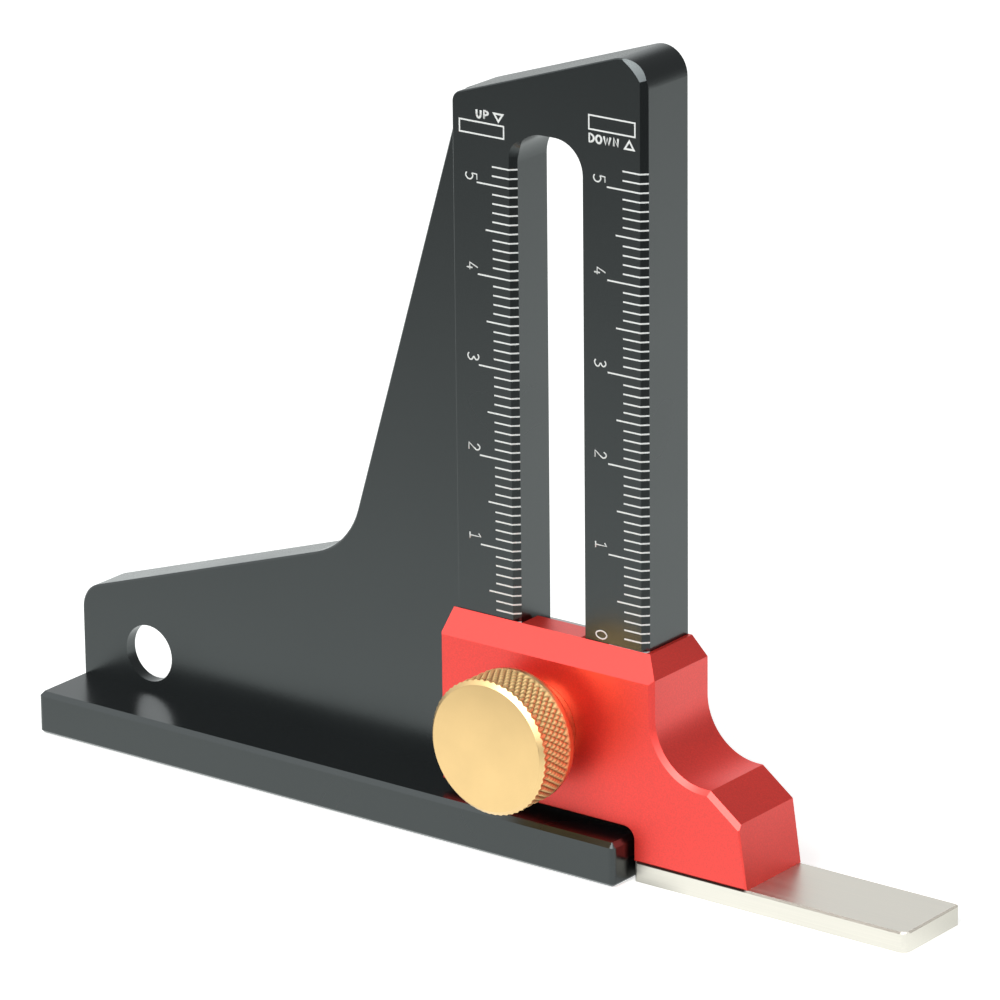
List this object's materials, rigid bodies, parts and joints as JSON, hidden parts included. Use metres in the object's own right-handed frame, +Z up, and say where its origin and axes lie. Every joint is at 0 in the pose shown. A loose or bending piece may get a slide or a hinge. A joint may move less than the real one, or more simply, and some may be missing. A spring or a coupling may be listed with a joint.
{
  "type": "height gauge",
  "caption": "L-shaped frame on its own foot with a slotted scale column; a slider with a flat measuring tongue rides the column and locks with a knurled knob.",
  "frame": {"origin": "middle of the base's underside, the plane that the readings are taken from", "axes": "+X along the base towards the tongue's tip, +Y away from the scale side towards the back, +Z up the column"},
  "size_m": [0.115, 0.0192, 0.0888],
  "materials": {
    "black_anodised": "fine bead-blasted, black anodised",
    "red_anodised": "fine bead-blasted, red anodised",
    "stainless": "ground stainless steel",
    "screw_steel": "plain stainless steel",
    "knob_brass": "turned satin face, knurled rim",
    "washer_brass": "plain brass",
    "nut_steel": "plain steel"
  },
  "bodies": {
    "frame": {"gauge_frame": "black_anodised"},
    "slider": {"slider_block": "red_anodised", "tongue_bar": "stainless", "tongue_screws": "screw_steel"},
    "knob": {"clamp_knob": "knob_brass", "clamp_stud": "screw_steel", "knob_washer": "washer_brass"},
    "nut": {"clamp_nut": "nut_steel"}
  },
  "joints": [
    {"name": "slider_travel", "type": "slide", "parent": "frame", "child": "slider", "axis": [0, 0, 1], "range_m": [0, 0.051]},
    {"name": "knob_turn", "type": "hinge", "parent": "slider", "child": "knob", "pos_m": [0.028, -0.0035, 0.015], "axis": [0, -1, 0], "range_deg": [0, 360]},
    {"name": "nut_draw", "type": "slide", "parent": "slider", "child": "nut", "axis": [0, 1, 0], "range_m": [0, 0.00081]}
  ],
  "couplings": [
    {"joint": "nut_draw", "follows": "knob_turn", "m_per_rad": 0.00012732}
  ]
}
